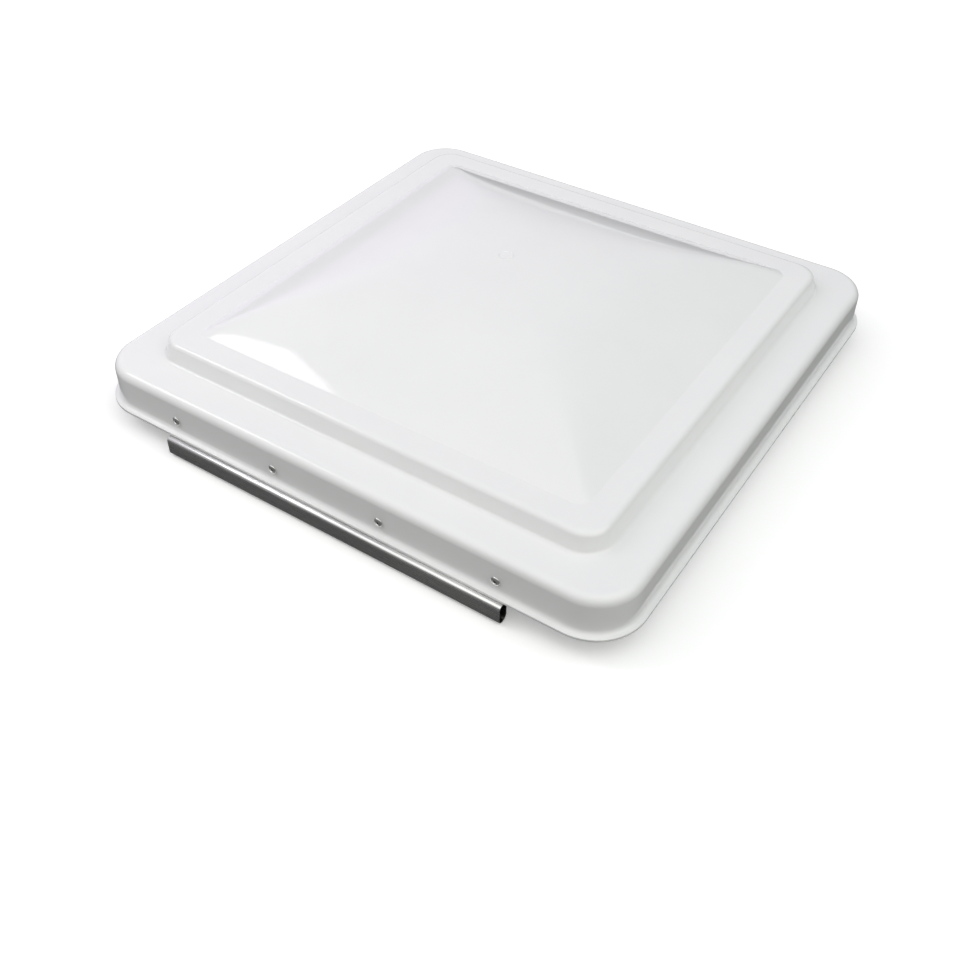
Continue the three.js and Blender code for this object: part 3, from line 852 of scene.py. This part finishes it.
def seal(node):
    """A foam strip: flat where it is stuck on, crowned and slightly wavy where it is free."""
    low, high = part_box(node)
    size, centre = high - low, (low + high) / 2
    lengthways = "X" if size.x > size.y else "Y"
    length, width, thick = max(size.x, size.y), min(size.x, size.y), size.z
    slices = 180
    bottom, edge_drop = -thick / 2, 0.3 * MM
    corners = [
        (-width / 2 + 0.1 * MM, thick / 2, 0), (-width / 2, bottom + edge_drop, 1.1 * MM),
        (0, bottom, 12 * MM), (width / 2, bottom + edge_drop, 1.1 * MM),
        (width / 2 - 0.1 * MM, thick / 2, 0),
    ]
    line = rounded(corners, 5)
    rings = []
    for i in range(slices + 1):
        t = i / slices
        wave = 0.12 * MM * math.sin(37 * t) + 0.08 * MM * math.sin(91 * t + 1)
        end = min(t, 1 - t) * length
        shrink = 1 - 0.12 * math.exp(-end / (0.8 * MM))
        section = [(a * shrink, b if b > 0 else b * shrink + abs(wave)) for a, b in line]
        run = length * (t - 0.5)
        if lengthways == "X":
            rings.append([(centre.x + run, centre.y + a, centre.z + b) for a, b in section])
        else:
            rings.append([(centre.x - a, centre.y + run, centre.z + b) for a, b in section])
    bm = loft(rings, cap_ends=True)
    piece = add_object("foam_" + node, bm, FOAM, "lid", node)
    return smooth(piece, 40)


for name in ("seal_hinge_side", "seal_opening_side", "seal_left", "seal_right"):
    seal(name)


# ---- Studio ----


FLOOR_BOUNCE = 0.14  # how much of its light the floor throws back at the object
FLOOR_BOUNCE_LEFT = 0.7  # the same, beyond the left side
BOUNCE_FADE = (-0.44, -0.32)  # the stretch of X over which the one turns into the other
FLOOR_LIFT = 0.18  # what the camera sees the floor glow by
FLOOR_HALF = 6.0
FLOOR_GAP = 0.5 * MM  # between the hinge barrel and the floor
UNDER_GLOW = 0.7  # light from below for the underside, out of sight under the lid
UNDER_GLOW_FADE = (150 * MM, 170 * MM)  # distance from the middle over which it dies away


def toward(azimuth, height):
    """A direction from its azimuth, from +Y towards +X, and its height, both in degrees."""
    a, h = math.radians(azimuth), math.radians(height)
    return Vector((math.sin(a) * math.cos(h), math.cos(a) * math.cos(h), math.sin(h)))


def clear_from_below(g, seen):
    """Lets a camera under the floor look up through it."""
    mix = g.tree.nodes.new("ShaderNodeMixShader")
    clear = g.tree.nodes.new("ShaderNodeBsdfTransparent")
    below = g.tree.nodes.new("ShaderNodeNewGeometry").outputs["Backfacing"]
    g.join(g.math("MULTIPLY", seen, below), mix, 0)
    g.join(g.shader.outputs[0], mix, 1)
    g.join(clear.outputs[0], mix, 2)
    g.join(mix.outputs[0], g.tree.nodes["Material Output"], "Surface")


def studio_floor():
    """A wide pale floor that lights the object less than the camera sees it lit."""
    mesh = bpy.data.meshes.new("studio_floor")
    half, level = FLOOR_HALF, CAD_BOX[0].z - FLOOR_GAP
    corners = [(-half, -half, level), (half, -half, level), (half, half, level), (-half, half, level)]
    mesh.from_pydata(corners, [], [(0, 1, 2, 3)])
    floor = bpy.data.objects.new("studio_floor", mesh)
    bpy.context.scene.collection.objects.link(floor)
    g = Graph("pale_floor")
    seen = g.tree.nodes.new("ShaderNodeLightPath").outputs["Is Camera Ray"]
    unseen = g.math("SUBTRACT", 1, seen)
    shade = g.fit(g.noise(3, 3), 0.3, 0.7, 0.93, 0.95)
    bounce = g.fit(g.part("X"), *BOUNCE_FADE, FLOOR_BOUNCE_LEFT, FLOOR_BOUNCE)
    g.set(Base_Color=g.math("MULTIPLY", shade, g.math("MAXIMUM", seen, bounce)), Roughness=0.9)
    away = [g.math("ABSOLUTE", g.part(axis), 0) for axis in "XY"]
    under = g.fit(g.math("MAXIMUM", *away), *UNDER_GLOW_FADE, UNDER_GLOW, 0)
    glow = g.math("ADD", g.math("MULTIPLY", seen, FLOOR_LIFT), g.math("MULTIPLY", unseen, under))
    g.set(Emission_Color=(1, 1, 1, 1), Emission_Strength=glow)
    clear_from_below(g, seen)
    mesh.materials.append(g.material)


KEY_AWAY = 1.15
KEY_AZIMUTH, KEY_HEIGHT = -128, 46  # the direction of the softbox's plane from the lid
KEY_CORNER = (-0.242, 0.114)  # one of its corners, right and up in its own plane
KEY_TOP_EDGE = (0.3, 0.02)
KEY_SIDE_EDGE = (-0.08, -0.412)
KEY_GLOW = 5
KEY_TINT = (0.99, 0.97, 1.04)


def softbox():
    """A four-sided sheet of light, up to the left of the hinge side."""
    out = toward(KEY_AZIMUTH, KEY_HEIGHT)
    right = Vector((0, 0, 1)).cross(out).normalized()
    up = out.cross(right)
    middle = Vector((0, 0, FRAME_TOP)) + KEY_AWAY * out
    corner, top, side = (Vector(edge) for edge in (KEY_CORNER, KEY_TOP_EDGE, KEY_SIDE_EDGE))
    places = [corner, corner + top, corner + top + side, corner + side]
    mesh = bpy.data.meshes.new("softbox")
    mesh.from_pydata([middle + a * right + b * up for a, b in places], [], [(0, 1, 2, 3)])
    light = bpy.data.objects.new("softbox", mesh)
    bpy.context.scene.collection.objects.link(light)
    g = Graph("softbox_glow")
    g.set(Base_Color=(0, 0, 0, 1), Roughness=1.0, Specular_IOR_Level=0.0)
    g.set(Emission_Color=(*KEY_TINT, 1), Emission_Strength=KEY_GLOW)
    mesh.materials.append(g.material)


# Soft glows around the room: azimuth, height, strength and tint of each.
GLOWS = [
    (90, 50, 1.6, (1.03, 1.03, 0.95)),
    (135, 50, 0.4, (0.98, 1.04, 0.92)),
    (180, 50, 0.2, (1, 1, 1)),
    (225, 50, 1.25, (1, 1, 1)),
    (300, 12, 0.95, (1.02, 0.92, 1.08)),
    (0, 12, 0.2, (1, 1.03, 0.97)),
    (45, 50, 0.3, (0.8, 0.9, 1.3)),
]
GLOW_FOCUS = 5


def studio_world():
    """A dark room with a few wide soft glows, behind a backdrop that looks white to the camera."""
    world = bpy.data.worlds.new("studio_world")
    bpy.context.scene.world = world
    world.use_nodes = True
    tree = world.node_tree

    def step(family, kind, output, *values):
        node = tree.nodes.new(family)
        node.operation = kind
        for socket, value in zip(node.inputs, values):
            if hasattr(value, "node"):
                tree.links.new(value, socket)
            else:
                socket.default_value = value
        return node.outputs[output]

    look = tree.nodes.new("ShaderNodeTexCoord").outputs["Generated"]
    seen = tree.nodes.new("ShaderNodeLightPath").outputs["Is Camera Ray"]
    backdrop = tree.nodes.new("ShaderNodeCombineXYZ")
    for axis in range(3):
        tree.links.new(seen, backdrop.inputs[axis])
    total = backdrop.outputs[0]
    for azimuth, height, strength, tint in GLOWS:
        facing = step("ShaderNodeVectorMath", "DOT_PRODUCT", "Value", look, toward(azimuth, height))
        front = step("ShaderNodeMath", "MAXIMUM", 0, facing, 0)
        glow = step("ShaderNodeMath", "POWER", 0, front, GLOW_FOCUS)
        tinted = tree.nodes.new("ShaderNodeVectorMath")
        tinted.operation = "SCALE"
        tinted.inputs[0].default_value = [strength * part for part in tint]
        tree.links.new(glow, tinted.inputs["Scale"])
        total = step("ShaderNodeVectorMath", "ADD", 0, tinted.outputs[0], total)
    tree.links.new(total, tree.nodes["Background"].inputs["Color"])


CAMERA_LENS = 41.06
CAMERA_PLACE = Vector((0.3385, -0.5486, 0.4711))
CAMERA_TARGET = Vector((0.0745, -0.1428, 0.0208))
CAMERA_ROLL = 0.84  # degrees


def camera():
    """Three-quarter view from the hinge side, about half way up to overhead."""
    data = bpy.data.cameras.new("camera")
    data.lens = CAMERA_LENS
    data.clip_start = 0.01
    holder = bpy.data.objects.new("camera", data)
    roll = Matrix.Rotation(math.radians(CAMERA_ROLL), 4, "Z")
    turn = (CAMERA_TARGET - CAMERA_PLACE).to_track_quat("-Z", "Y").to_matrix().to_4x4()
    holder.matrix_world = Matrix.Translation(CAMERA_PLACE) @ turn @ roll
    bpy.context.scene.collection.objects.link(holder)
    bpy.context.scene.camera = holder


studio_floor()
studio_world()
softbox()
camera()
bpy.context.scene.view_settings.view_transform = "Standard"
